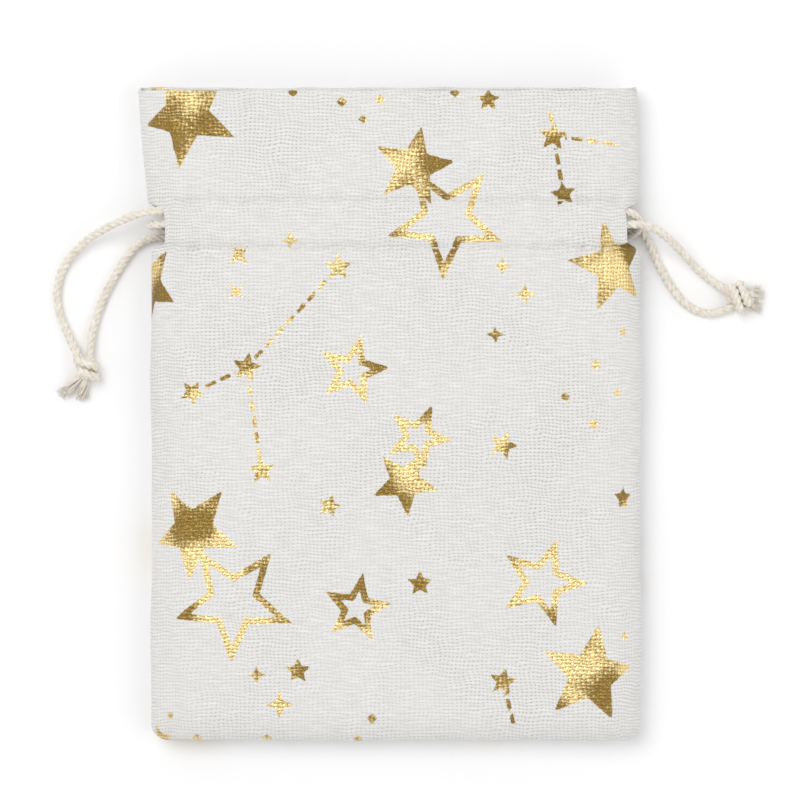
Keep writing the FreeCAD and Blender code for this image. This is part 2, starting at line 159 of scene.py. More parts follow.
def length_setting(name, description, default, low, high):
    return bpy.props.FloatProperty(
        name=name, description=description, subtype="DISTANCE", unit="LENGTH",
        default=default, min=low, max=high,
    )


def colour_setting(name, description, default):
    return bpy.props.FloatVectorProperty(
        name=name, description=description, subtype="COLOR", default=default, min=0, max=1,
    )


class SackClothSettings(bpy.types.PropertyGroup):
    colour: colour_setting("Cotton", "Colour of the unbleached cotton", (0.80, 0.795, 0.785))
    thickness: length_setting("Thickness", "Thickness of one layer of cloth", 0.00045, 0.0001, 0.001)
    step: length_setting("Front mesh step", "Spacing of the front cloth's points", 0.00034, 0.0003, 0.002)
    back_step: length_setting("Back mesh step", "Spacing of the back cloth's points", 0.00045, 0.0003, 0.002)
    thread_across: length_setting(
        "Thread pitch across", "Distance between warp threads", 0.00088, 0.0003, 0.003,
    )
    thread_along: length_setting(
        "Thread pitch along", "Distance between weft threads", 0.00072, 0.0003, 0.003,
    )
    pucker: length_setting("Pucker", "Height of the gathers beside the channel", 0.00035, 0, 0.001)


class SackFoilSettings(bpy.types.PropertyGroup):
    colour: colour_setting("Foil", "Colour of the gold foil", (0.60, 0.41, 0.13))
    line: length_setting("Line width", "Width of the outlined stars' lines", 0.00105, 0.0005, 0.003)


class SackCordSettings(bpy.types.PropertyGroup):
    colour: colour_setting("Cord", "Colour of the cotton cord", (0.87, 0.835, 0.765))
    diameter: length_setting("Diameter", "Diameter of the twisted cord", 0.0018, 0.001, 0.004)
    lay: length_setting("Lay", "Length in which one ply goes once round", 0.0044, 0.002, 0.02)


class SackStageSettings(bpy.types.PropertyGroup):
    key_power: bpy.props.FloatProperty(
        name="Key lamp", description="Power of the lamp at the upper left", subtype="POWER", unit="POWER",
        default=4.4, min=0, max=100,
    )
    sky: bpy.props.FloatProperty(
        name="Surroundings", description="Strength of the light from all round", default=0.95, min=0, max=2,
    )
    floor: colour_setting("Floor", "Colour of the floor", (0.96, 0.96, 0.965))


SETTINGS = {
    "sack_cloth": SackClothSettings,
    "sack_foil": SackFoilSettings,
    "sack_cord": SackCordSettings,
    "sack_stage": SackStageSettings,
}


# --- Meshes ---


def quads(rows, columns, start=0, close_rows=False, close_columns=False):
    """Corner numbers of the faces between neighbouring points of a grid, row by row."""
    number = start + np.arange(rows * columns).reshape(rows, columns)
    if close_rows:
        number = np.vstack([number, number[:1]])
    if close_columns:
        number = np.hstack([number, number[:, :1]])
    corners = [number[:-1, :-1], number[1:, :-1], number[1:, 1:], number[:-1, 1:]]
    return np.stack([c.ravel() for c in corners], axis=1)


def make_piece(name, points, faces, material, uv=None, foil=None):
    """A mesh object from points in millimetres and four-cornered faces, at the origin."""
    mesh = bpy.data.meshes.new(name)
    mesh.vertices.add(len(points))
    mesh.vertices.foreach_set("co", (np.asarray(points, float) * MM).astype(np.float32).ravel())
    mesh.loops.add(faces.size)
    mesh.loops.foreach_set("vertex_index", faces.astype(np.int32).ravel())
    mesh.polygons.add(len(faces))
    mesh.polygons.foreach_set("loop_start", np.arange(0, faces.size, 4, dtype=np.int32))
    mesh.update(calc_edges=True)
    mesh.validate()
    mesh.shade_smooth()
    if uv is not None:
        used = np.empty(len(mesh.loops), np.int32)
        mesh.loops.foreach_get("vertex_index", used)
        mesh.uv_layers.new(name="Flat").data.foreach_set("uv", uv[used].astype(np.float32).ravel())
    if foil is not None:
        distance = mesh.attributes.new("foil_distance", "FLOAT", "POINT")
        distance.data.foreach_set("value", foil.astype(np.float32).ravel())
    mesh.materials.append(material)
    piece = bpy.data.objects.new(name, mesh)
    bpy.context.scene.collection.objects.link(piece)
    return piece


def grid_uv(along, across):
    """Flat coordinates of a grid: one number for each row and one for each column."""
    return np.stack(np.broadcast_arrays(along[:, None], across), axis=2)


def run_of(line):
    """Length run from the line's start to each of its points."""
    return np.concatenate([[0], np.cumsum(np.linalg.norm(np.diff(line, axis=0), axis=1))])


def join(parts):
    """Several (points, faces) as one, the later faces counting on from the earlier points."""
    points, faces, start = [], [], 0
    for part_points, part_faces in parts:
        points.append(part_points)
        faces.append(part_faces + start)
        start += len(part_points)
    return np.vstack(points), np.vstack(faces)


def smooth(t):
    """0 below 0, 1 above 1, and between them three t squared less two t cubed."""
    t = np.clip(t, 0, 1)
    return t * t * (3 - 2 * t)


# --- Cloth ---

EDGE_ROUND = 6.6  # width of the rounded sides and bottom
CORNER_ROUND = 3.4  # radius of the bottom corners
NOTCH_DEPTH = 2.9  # how far the openings for the cords cut in at the sides
FOLD_RADIUS = 0.7  # of the header's fold at the mouth
EDGE_RUN = 0.45  # share of the edge's arc by which the flat cloth is wider than its outline
STITCH_PITCH = 3.2


def notch(y):
    """1 across the opening for the cords at the side, 0 above and below it."""
    return smooth((y - LOWER_ROW_Y + 0.6) / 1.9) * (1 - smooth((y - UPPER_ROW_Y + 2.1) / 1.9))


def half_width(y, side=1):
    """Half the cloth's width on one side: the pouch's, then the header's, which leans a little to the left,
    less the notch, with rounded bottom corners."""
    wide = HALF_WIDTH + (HEADER_HALF - HALF_WIDTH) * smooth((y - CHANNEL_Y) / 6)
    wave = 0.22 * np.sin(y / 9.1 + 0.7) + 0.12 * np.sin(y / 3.9)
    wave *= smooth((y - BOTTOM_Y) / 10)
    d = np.clip(y - BOTTOM_Y, 0, CORNER_ROUND)
    corner = CORNER_ROUND - np.sqrt(CORNER_ROUND**2 - (CORNER_ROUND - d) ** 2)
    up = np.clip((y - UPPER_ROW_Y) / 22, 0, 1)
    lean = np.where(np.asarray(side) > 0, -0.9 - 0.5 * up, 0.4 + 1.6 * up) * smooth((y - CHANNEL_Y) / 5)
    return wide + 0.05 + lean + wave * 0.7 - NOTCH_DEPTH * notch(y) - corner


def lumps(x, y):
    """Slow waves of slack cloth: a sum of sines of several directions and lengths."""
    slow = np.sin(x / 11.3 + y / 29.0 + 0.4) + np.sin(y / 14.1 - x / 23.0 + 1.9)
    slow = slow + 0.7 * np.sin(x / 6.7 - y / 8.9 + 2.7) + 0.6 * np.sin(y / 5.9 + x / 12.0)
    quick = np.sin(x / 2.1 + 1.3 * np.sin(y / 7.0)) * np.sin(y / 3.3 + 0.8)
    return 0.16 * slow + 0.05 * quick


def gathers(x, y, height):
    """Small folds along the channel: sines of x whose height fades away from each stitched row."""
    folds = np.sin(x / 0.93 + 1.6 * np.sin(x / 5.1)) + 0.7 * np.sin(x / 0.61 + 2.2 * np.sin(x / 8.3) + 1.1)
    stronger = 0.45 + 0.75 * smooth((np.abs(x) - 22) / 24)
    below = np.exp(-(((y - LOWER_ROW_Y) / np.where(y < LOWER_ROW_Y, 4.2, 1.8)) ** 2))
    above = np.exp(-(((y - UPPER_ROW_Y) / np.where(y > UPPER_ROW_Y, 3.6, 1.8)) ** 2))
    return height * stronger * folds * (0.8 * below + 0.7 * above)


def rows_dip(x, y):
    """How far the thread pulls the cloth in along the two stitched rows: a narrow bell across each row."""
    bite = 0.46 + 0.14 * np.cos(2 * np.pi * (x / STITCH_PITCH))
    bells = np.exp(-(((y - UPPER_ROW_Y) / 0.55) ** 2)) + np.exp(-(((y - LOWER_ROW_Y) / 0.55) ** 2))
    return bite * bells


def rise(x, y, mouth_y, pucker):
    """How far the outer face stands from the plane of the side seams. It is full between the edges and
    falls to nothing along a quarter ellipse at the sides and the bottom, where the cloths are sewn."""
    side = np.clip((half_width(y, np.where(x < 0, -1, 1)) - np.abs(x)) / EDGE_ROUND, 0, 1)
    bottom = np.clip((y - BOTTOM_Y) / EDGE_ROUND, 0, 1)
    side_full = np.sqrt(np.clip(1 - (1 - side) ** 2, 0, 1))
    bottom_full = np.sqrt(np.clip(1 - (1 - bottom) ** 2, 0, 1))
    open_side = 0.97 * notch(y)
    full = bottom_full * (1 - (1 - open_side) * (1 - side_full))
    mouth = (0.4 + 0.45 * (1 + np.sin(x / 11.0 + 0.9))) * smooth((y - mouth_y + 18) / 18)
    inner = full * full
    change = -0.42 - mouth + lumps(x, y) + gathers(x, y, pucker) - rows_dip(x, y)
    channel = smooth((y - LOWER_ROW_Y - 0.4) / 1.6) * (1 - smooth((y - UPPER_ROW_Y + 2.0) / 1.6))
    return full * SEAM_Z + inner * change * (1 - 0.8 * channel) + 0.04


def face_z(x, y, face, pucker):
    """Height of the outer face: the rise above the seams' plane in front, and below it at the back, where
    the sack's own weight flattens it on the surface that it lies on."""
    up = rise(x, y, MOUTH_Y[face], pucker)
    if face == "front":
        return SEAM_Z + up
    flat = SEAM_Z - 0.02
    return SEAM_Z - np.minimum(flat, up + 0.35 * smooth(up / SEAM_Z * 4 - 3))


def normals_of(points):
    """Unit cross product of a grid's two directions."""
    n = np.cross(np.gradient(points, axis=0), np.gradient(points, axis=1))
    return n / np.maximum(np.linalg.norm(n, axis=2, keepdims=True), 1e-9)


def across(step):
    """Two numbers for each point from the middle to the edge: its share of the flat middle, and the angle
    left to go round the rounded edge."""
    middle = int(np.ceil((HALF_WIDTH - EDGE_ROUND) / step)) + 1
    turn = np.linspace(np.pi / 2, 0, 15)[1:]
    share = np.concatenate([np.linspace(0, 1, middle), np.ones(len(turn))])
    angle = np.concatenate([np.full(middle, np.pi / 2), turn])
    return share, angle


def x_of(share, angle, wide):
    """x out to the rounded edge, then round it by its width times the cosine of the angle left to go."""
    return share * (wide - EDGE_ROUND) + np.where(angle < np.pi / 2, EDGE_ROUND * np.cos(angle), 0)


def two_layers(outer, uv, foil, face, thickness, rims):
    """Outer face, the inner face one thickness inside it, and strips that close the free edges."""
    n = normals_of(outer)
    rows, columns = outer.shape[:2]
    outwards = 1.0 if face == "front" else -1.0
    n *= np.sign(n[rows // 3, columns // 3, 2]) * outwards
    inner = outer - n * thickness
    flat_outer, faces = outer.reshape(-1, 3), quads(rows, columns)
    sample = faces[len(faces) // 3]
    a, b, c = flat_outer[sample[:3]]
    if np.dot(np.cross(b - a, c - a), n.reshape(-1, 3)[sample[0]]) < 0:
        faces = faces[:, ::-1]
    parts = [(flat_outer, faces), (inner.reshape(-1, 3), faces[:, ::-1])]
    maps, prints = [uv.reshape(-1, 2)] * 2, [foil.ravel(), np.full(foil.size, BARE)]
    for rim in rims:
        pick = {"side": (slice(None), -1), "first": (0, slice(None)), "last": (-1, slice(None))}[rim]
        strip = np.stack([outer[pick], inner[pick]])
        parts.append((strip.reshape(-1, 3), quads(2, strip.shape[1])))
        maps.append(np.stack([uv[pick]] * 2).reshape(-1, 2))
        prints.append(np.full(2 * strip.shape[1], BARE))
    points, faces = join(parts)
    return points, faces, np.vstack(maps), np.concatenate(prints)


def pouch_points(face, side, step, pucker):
    """Pouch cloth of one half: x from the middle to the side, y from the bottom to the channel's middle
    line, z on the outer face. Also its flat coordinates, which run on round the edge."""
    share, angle = across(step)
    turn = np.linspace(0, np.pi / 2, 13)
    rows = int(np.ceil((CHANNEL_Y - BOTTOM_Y - EDGE_ROUND) / step)) + 1
    y = np.concatenate([
        BOTTOM_Y + EDGE_ROUND * (1 - np.cos(turn))[:-1],
        np.linspace(BOTTOM_Y + EDGE_ROUND, CHANNEL_Y, rows),
    ])
    y = y[:, None] + 0 * share[None, :]
    wide = half_width(y, side)
    x = x_of(share[None, :], angle[None, :], wide)
    sag = 0.25 * np.sin(x * side / 17.0 + 0.6) * (1 - smooth((y - BOTTOM_Y) / 12))
    z = face_z(x * side, y, face, pucker)
    flat_x = x + (np.pi / 2 - angle) * EDGE_ROUND * EDGE_RUN
    points = np.stack([x * side, y + np.abs(sag), z], axis=2)
    return points, np.stack([flat_x * side, y], axis=2)


def header_path(face, step):
    """The header cloth's own path from the channel's middle line up to the mouth, over the fold and down
    inside: y, how far it lies behind the outer face, and the length run so far."""
    top, fold = MOUTH_Y[face], FOLD_RADIUS
    up = np.linspace(CHANNEL_Y, top - fold, int((top - CHANNEL_Y) / step))
    turn = np.linspace(0, np.pi, 13)[1:]
    down = [
        (top - fold - 1.0, 1.5), (top - 4.0, 1.25), (UPPER_ROW_Y + 3.0, 0.95), (UPPER_ROW_Y + 0.9, 0.95),
        (UPPER_ROW_Y - 0.3, 2.6), (LOWER_ROW_Y + 0.3, 2.6), (LOWER_ROW_Y - 0.7, 0.8),
        (LOWER_ROW_Y - 1.5, 0.75),
    ]
    y = [up, top - fold + fold * np.sin(turn)]
    depth = [0 * up, fold * (1 - np.cos(turn))]
    last = (top - fold, 2 * fold)
    for point in down:
        n = max(3, int(np.hypot(point[0] - last[0], point[1] - last[1]) / (step * 1.6)))
        s = np.linspace(0, 1, n + 1)[1:]
        y.append(last[0] + (point[0] - last[0]) * s)
        depth.append(last[1] + (point[1] - last[1]) * smooth(s))
        last = point
    y, depth = np.concatenate(y), np.concatenate(depth)
    run = np.concatenate([[0], np.cumsum(np.hypot(np.diff(y), np.diff(depth)))])
    return y, depth, run, len(up)


def header_points(face, side, step, pucker):
    """Header and facing of one half as one cloth. It follows header_path, behind the outer face by the
    path's depth, and narrows inside to the facing's width."""
    share, angle = across(step)
    y, depth, run, fold_row = header_path(face, step)
    past = np.clip((run - run[fold_row]) / 7.0, 0, 1)
    y, depth, run, past = (a[:, None] + 0 * share[None, :] for a in (y, depth, run, past))
    wide = half_width(y, side)
    narrow = 1 - smooth(past) * (1 - (FACING_HALF - 0.2) / HEADER_HALF)
    x = x_of(share[None, :], angle[None, :], wide) * narrow
    top = MOUTH_Y[face]
    wave = 0.22 * np.sin(x * side / 8.7 + (0 if face == "front" else 2.0)) + 0.1 * np.sin(x * side / 3.1)
    shift = -np.abs(wave) * smooth((y - top + 9) / 9) * 1.2
    towards = 1.0 if face == "front" else -1.0
    outer = face_z(x * side, y, face, pucker)
    room = np.clip(np.abs(outer - SEAM_Z) / SEAM_Z, 0, 1)
    z = outer - towards * depth * room
    flat_x = x + (np.pi / 2 - angle) * EDGE_ROUND * EDGE_RUN
    points = np.stack([x * side, y + shift, z], axis=2)
    return points, np.stack([flat_x * side, CHANNEL_Y + run], axis=2)


# --- Foil ---


def star_distance(x, y, points, radius, inner, turn):
    """Signed distance to a star with that many points. The plane is folded into half of one point by its
    angle, and the distance to the line through the tip and the inner corner is measured there."""
    r, wedge = np.hypot(x, y), 2 * np.pi / points
    a = np.abs((np.arctan2(y, x) - np.radians(turn) + wedge / 2) % wedge - wedge / 2)
    px, py = r * np.cos(a) - radius, r * np.sin(a)
    ex = radius * inner * np.cos(wedge / 2) - radius
    ey = radius * inner * np.sin(wedge / 2)
    return (px * ey - py * ex) / np.hypot(ex, ey)


def foil_distance(flat, line):
    """Distance to the nearest foil edge, below 0 on the foil, for points in flat cloth coordinates. An
    outlined star keeps only the band one line wide inside its edge, and a dash is a small rectangle."""
    x, y = flat[..., 0], flat[..., 1]
    result = np.full(x.shape, BARE)
    kinds = (  # stars, their points, inner corner's share of the radius, turn in degrees, outlined
        (SOLID_STARS + EDGE_STARS, 5, 0.44, 0, False),
        (LINE_STARS, 5, 0.44, 0, True),
        (SMALL_STARS, 5, 0.46, 0, False),
        (SPARKLES, 4, 0.36, 90, False),
        (DIAMONDS, 4, 0.75, 90, False),
    )
    for stars, points, inner, quarter, outlined in kinds:
        for cx, cy, radius, turn in stars:
            near = (np.abs(x - cx) < radius + 2) & (np.abs(y - cy) < radius + 2)
            star = star_distance(x[near] - cx, y[near] - cy, points, radius, inner, turn + quarter)
            if outlined:
                star = np.abs(star + line / 2) - line / 2
            result[near] = np.minimum(result[near], star)
    for ax, ay, bx, by in DASHED_LINES:
        length = np.hypot(bx - ax, by - ay)
        ux, uy = (bx - ax) / length, (by - ay) / length
        near = (np.abs(x - ax) < length + 1) & (np.abs(y - ay) < length + 1)
        dx, dy = x[near] - ax, y[near] - ay
        along, off = dx * ux + dy * uy, np.abs(dx * uy - dy * ux) - DASH_HALF_WIDTH
        beyond = np.maximum(DASH_CLEAR - along, along - length + DASH_CLEAR)
        dash = np.abs(along % DASH_PITCH - DASH_PITCH / 2) - DASH_HALF
        result[near] = np.minimum(result[near], np.maximum(np.maximum(off, dash), beyond))
    return result


# --- Cords and knots ---

CORD_SIDES = 28  # points round a cord
YARN_PITCH = 0.62
CORD_STEP = 0.2  # spacing of a cord's rings
KNOT_STEP = 0.16
TAIL_FIBRES = 54
FIBRE_RADIUS = 0.15


def spline_points(name, route):
    """Points along one smooth NURBS curve that has the route's points as its control points."""
    curve = bpy.data.curves.new(name, "CURVE")
    curve.dimensions = "3D"
    curve.resolution_u = 32
    spline = curve.splines.new("NURBS")
    spline.points.add(len(route) - 1)
    for point, place in zip(spline.points, route):
        point.co = (place[0] * MM, place[1] * MM, place[2] * MM, 1)
    spline.order_u = 3
    spline.use_endpoint_u = True
    holder = bpy.data.objects.new(name, curve)
    bpy.context.scene.collection.objects.link(holder)
    bpy.context.view_layer.update()
    mesh = bpy.data.meshes.new_from_object(holder)
    line = np.array([v.co for v in mesh.vertices], float) / MM
    bpy.data.objects.remove(holder)
    bpy.data.meshes.remove(mesh)
    bpy.data.curves.remove(curve)
    return line


def evenly(line, step):
    """The same line at even steps, and the length run at each point."""
    run = run_of(line)
    at = np.linspace(0, run[-1], max(4, int(run[-1] / step)))
    return np.stack([np.interp(at, run, line[:, k]) for k in range(3)], axis=1), at


def cross_frames(line):
    """Two unit vectors across the line at each point, from the fixed direction that the line stays furthest
    from: that direction less its part along the line, and the cross product."""
    t = np.gradient(line, axis=0)
    t /= np.maximum(np.linalg.norm(t, axis=1, keepdims=True), 1e-9)
    choices = np.array([
        (0.5, 0.6, 0.62), (-0.5, 0.6, 0.62), (0.5, -0.6, 0.62), (0, 0, 1), (0, 1, 0.3), (1, 0, 0.4),
    ])
    choices = choices / np.linalg.norm(choices, axis=1, keepdims=True)
    best = choices[np.argmin(np.abs(t @ choices.T).max(axis=0))]
    n = best - (t @ best)[:, None] * t
    n /= np.linalg.norm(n, axis=1, keepdims=True)
    return n, np.cross(t, n)


def rings_round(line, angle, radius):
    """A ring of points round each point of the line, at those angles and that radius."""
    n, b = cross_frames(line)
    ring = n[:, None, :] * np.cos(angle)[..., None] + b[:, None, :] * np.sin(angle)[..., None]
    return line[:, None, :] + ring * radius[..., None]


def twisted_tube(line, run, radius, lay, taper=None):
    """A three-ply cord along a line: the section's radius is the outline of three round plies, softened,
    and it turns once in each lay; finer yarns cross the plies the other way."""
    angle = np.linspace(0, 2 * np.pi, CORD_SIDES, endpoint=False)[None, :]
    turn = angle - 2 * np.pi * run[:, None] / lay
    ply = np.abs((turn % (2 * np.pi / 3)) - np.pi / 3)
    ply_radius = 0.5  # of the whole cord's
    outline = ply_radius * np.cos(ply)
    outline = outline + np.sqrt(np.clip(ply_radius**2 - (ply_radius * np.sin(ply)) ** 2, 0, 1))
    yarn = 0.022 * np.cos(3 * ply * 4 + 2 * np.pi * run[:, None] / YARN_PITCH)
    r = radius * (0.12 + 0.88 * outline + yarn)
    if taper is not None:
        r = r * taper[:, None]
    return rings_round(line, angle, r), grid_uv(run, angle * radius)


def capped(points, uv):
    """A tube's grid closed at both ends by drawing its end rings in to their middles."""
    first, last = points[:1].mean(axis=1, keepdims=True), points[-1:].mean(axis=1, keepdims=True)
    near_first = points[:1] * 0.5 + first * 0.5
    near_last = points[-1:] * 0.5 + last * 0.5
    tip_first = first + 0.02 * (points[:1] - first)
    tip_last = last + 0.02 * (points[-1:] - last)
    grid = np.concatenate([tip_first, near_first, points, near_last, tip_last])
    flat = np.concatenate([uv[:1], uv[:1], uv, uv[-1:], uv[-1:]])
    faces = quads(grid.shape[0], grid.shape[1], close_columns=True)[:, ::-1]
    return grid.reshape(-1, 3), faces, flat.reshape(-1, 2)


def tube_parts(tubes):
    """Several capped tubes as one set of points, faces and flat coordinates."""
    points, faces = join([(p, f) for p, f, _ in tubes])
    return points, faces, np.vstack([flat for _, _, flat in tubes])


def wrapped_knot(centre, axis, half, radius, lay, lean, crossing):
    """An overhand knot pulled tight: a coil of one and a half turns about the knot's axis, tilted and
    squeezed to its outline, round the two strands that run through it."""
    axis = np.array(axis, float)
    axis /= np.linalg.norm(axis)
    up = np.array([0.0, 0.0, 1.0])
    flat = np.cross(up, axis)
    flat /= np.linalg.norm(flat)
    t = np.linspace(0, 1, 260)
    a = 2 * np.pi * 1.55 * t + lean
    full = smooth(t / 0.14) * smooth((1 - t) / 0.14)
    long, wide, high = half[0] - radius, half[1] - radius, half[2] - radius
    coil = (
        centre
        + axis * ((t - 0.5) * min(1.9 * long, 3.1) + crossing * 0.75 * np.cos(a) * full)[:, None]
        + flat * (wide * full * np.cos(a))[:, None]
        + up * (high * (0.25 + 0.75 * full) * np.sin(a))[:, None]
    )
    through = [
        centre
        + axis * ((t - 0.5) * 1.6 * half[0])[:, None]
        + flat * (shift * radius * (1.0 - 0.5 * np.sin(np.pi * t)))[:, None]
        + up * (0.25 * np.sin(np.pi * t) - 0.15)[:, None]
        for shift in (-0.8, 0.8)
    ]
    tubes = []
    for line in (coil, *through):
        line, run = evenly(line, KNOT_STEP)
        ends = smooth(run / 0.9) * 0.4 + 0.6
        ends = np.minimum(ends, smooth((run[-1] - run) / 0.9) * 0.4 + 0.6)
        points, uv = twisted_tube(line, run, radius * 1.04, lay, taper=ends)
        tubes.append(capped(points, uv))
    return tubes


def frayed_tail(start, end, radius, seed):
    """A cut end: the cord's fibres leave the knot together, and spread with the square of the way to the
    tip. None goes below the surface that the cord lies on."""
    rng = np.random.default_rng(seed)
    start, end = np.array(start, float), np.array(end, float)
    way = end - start
    long = np.linalg.norm(way)
    way /= long
    flat = np.cross([0, 0, 1.0], way)
    flat /= np.linalg.norm(flat)
    up = np.cross(way, flat)
    tubes, count = [], TAIL_FIBRES
    spin = rng.uniform(0, 2 * np.pi, count)
    out = np.sqrt(rng.uniform(0, 1, count))
    reach = rng.uniform(0.72, 1.08, count)
    bow = rng.uniform(-0.5, 0.5, count)
    for k in range(count):
        t = np.linspace(0, 1, 12)
        spread = radius * out[k] * (0.78 + 0.75 * t**2)
        turn = spin[k] + 2.1 * t
        side = spread * np.cos(turn) + bow[k] * t**3
        high = spread * np.sin(turn) * (1 - 0.35 * t)
        line = start + way * (long * reach[k] * t)[:, None] + flat * side[:, None] + up * high[:, None]
        line[:, 2] = np.maximum(line[:, 2], FIBRE_RADIUS + 0.01)
        angle = np.linspace(0, 2 * np.pi, 5, endpoint=False)[None, :]
        grid = rings_round(line, angle, (FIBRE_RADIUS * (1 - 0.55 * t))[:, None])
        tubes.append(capped(grid, grid_uv(t * long, angle * 0.2)))
    return tubes


# --- Stitches and seams ---

SEAM_WIDTH = 3.6  # of the turned-in allowance
SEAM_INSET = 0.8  # from the cloth's edge to the seam line
SEAM_RIPPLE = 0.12
STITCH_INSET = 1.9  # from the cloth's edge to the seams' stitches
THREAD_RISE = 0.42  # of the seams' stitches above the seam plane


def stitch_row(centres, direction, length, thick, surface):
    """Short threads along a row: each is a tube whose radius falls to nothing at its ends by the square
    root of one minus the fourth power of the way along, laid on the surface's height."""
    rings = np.linspace(-1, 1, 11)
    angle = np.linspace(0, 2 * np.pi, 8, endpoint=False)
    centres = np.asarray(centres, float)[:, None, None, :]
    direction = np.asarray(direction, float)
    flat = np.array([-direction[1], direction[0], 0.0])
    u, a = rings[None, :, None, None], angle[None, None, :, None]
    round_off = np.clip(1 - np.abs(u) ** 4, 0.0008, 1) ** 0.5
    place = centres + direction * (u * length / 2) + flat * (thick * round_off * np.cos(a))
    above = thick * (round_off * np.sin(a) * 0.8 + 0.35 * round_off)[..., 0]
    place[..., 2] = surface(place[..., 0], place[..., 1]) + above
    n, rows, columns = place.shape[:3]
    parts = [(place[k].reshape(-1, 3), quads(rows, columns, close_columns=True)) for k in range(n)]
    points, faces = join(parts)
    return points, faces, points[:, :2].copy()


def seam_strip(line, inward, width, thickness, wave):
    """The two turned-in allowances of a seam: a folded strip from the seam line inwards, as a band whose
    section has eight points, closed at both ends."""
    line = np.asarray(line, float)
    run = run_of(line)
    across_band = np.array([0.0, 0.35, 0.7, 1.0, 1.0, 0.7, 0.35, 0.0])
    level = np.array([1, 1, 1, 0.8, -0.8, -1, -1, -1]) * thickness
    ripple = wave * np.sin(run / 3.3) + 0.5 * wave * np.sin(run / 1.7 + 1)
    points = line[:, None, :] + np.asarray(inward, float) * (width * across_band)[None, :, None]
    points[..., 2] += level[None, :] + ripple[:, None] * across_band[None, :]
    uv = grid_uv(run, across_band * width)
    start_cap = np.array([(1, 6, 7, 0), (2, 5, 6, 1), (3, 4, 5, 2)])
    end_cap = start_cap[:, ::-1] + (len(line) - 1) * len(across_band)
    faces = np.vstack([quads(len(line), len(across_band), close_columns=True), end_cap, start_cap])
    points = points.reshape(-1, 3)
    a, b, c = points[faces[0, :3]]
    if np.cross(b - a, c - a)[2] < 0:
        faces = faces[:, ::-1]
    return points, faces, uv.reshape(-1, 2)


# --- Materials ---

CLOTH_ROUGHNESS = 0.88
FOIL_ROUGHNESS = 0.32
THREAD_COLOUR = (0.79, 0.785, 0.77)


class Finish:
    """A material with a Principled shader, and short ways to add nodes to it."""

    def __init__(self, name, colour, roughness):
        self.material = bpy.data.materials.new(name)
        self.material.use_nodes = True
        self.tree = self.material.node_tree
        self.shader = self.tree.nodes["Principled BSDF"]
        self.shader.inputs["Base Color"].default_value = (*colour, 1)
        self.shader.inputs["Roughness"].default_value = roughness

    def node(self, kind, **inputs):
        made = self.tree.nodes.new(kind)
        for name, value in inputs.items():
            self.feed(made.inputs[name.replace("_", " ")], value)
        return made

    def feed(self, socket, value):
        if isinstance(value, bpy.types.NodeSocket):
            self.tree.links.new(value, socket)
        else:
            socket.default_value = value

    def flat(self):
        """The piece's own flat coordinates, in millimetres."""
        made = self.node("ShaderNodeUVMap")
        made.uv_map = "Flat"
        return made.outputs["UV"]

    def stretched(self, vector, scale, turn=0.0):
        made = self.node("ShaderNodeMapping", Vector=vector, Rotation=(0, 0, turn), Scale=scale)
        return made.outputs["Vector"]

    def math(self, operation, *values, clamp=False):
        made = self.tree.nodes.new("ShaderNodeMath")
        made.operation = operation
        made.use_clamp = clamp
        for socket, value in zip(made.inputs, values):
            self.feed(socket, value)
        return made.outputs[0]

    def ramp(self, value, low, high, to_low=0.0, to_high=1.0):
        made = self.tree.nodes.new("ShaderNodeMapRange")
        made.interpolation_type = "SMOOTHSTEP"
        for socket, part in zip(made.inputs, (value, low, high, to_low, to_high)):
            self.feed(socket, part)
        return made.outputs[0]

    def noise(self, vector, scale, detail=2.0):
        made = self.node("ShaderNodeTexNoise", Vector=vector, Scale=scale, Detail=detail)
        return made.outputs["Fac"]

    def mix(self, share, first, second, kind="RGBA"):
        made = self.tree.nodes.new("ShaderNodeMix")
        made.data_type = kind
        self.feed(made.inputs["Factor"], share)
        for name, value in (("A", first), ("B", second)):
            socket = [s for s in made.inputs if s.name == name and s.type == kind][0]
            self.feed(socket, value if isinstance(value, bpy.types.NodeSocket) else (*value, 1))
        return [s for s in made.outputs if s.type == kind][0]

    def bump(self, height, distance, strength=1.0):
        made = self.node("ShaderNodeBump", Height=height, Distance=distance, Strength=strength)
        return made.outputs["Normal"]

    def set(self, **sockets):
        for name, value in sockets.items():
            self.feed(self.shader.inputs[name.replace("_", " ")], value)
        return self.material


def tinted(colour, red, green, blue):
    """The colour with its red, green and blue multiplied by those shares, at most 1."""
    return tuple(min(1.0, part * share) for part, share in zip(colour, (red, green, blue)))


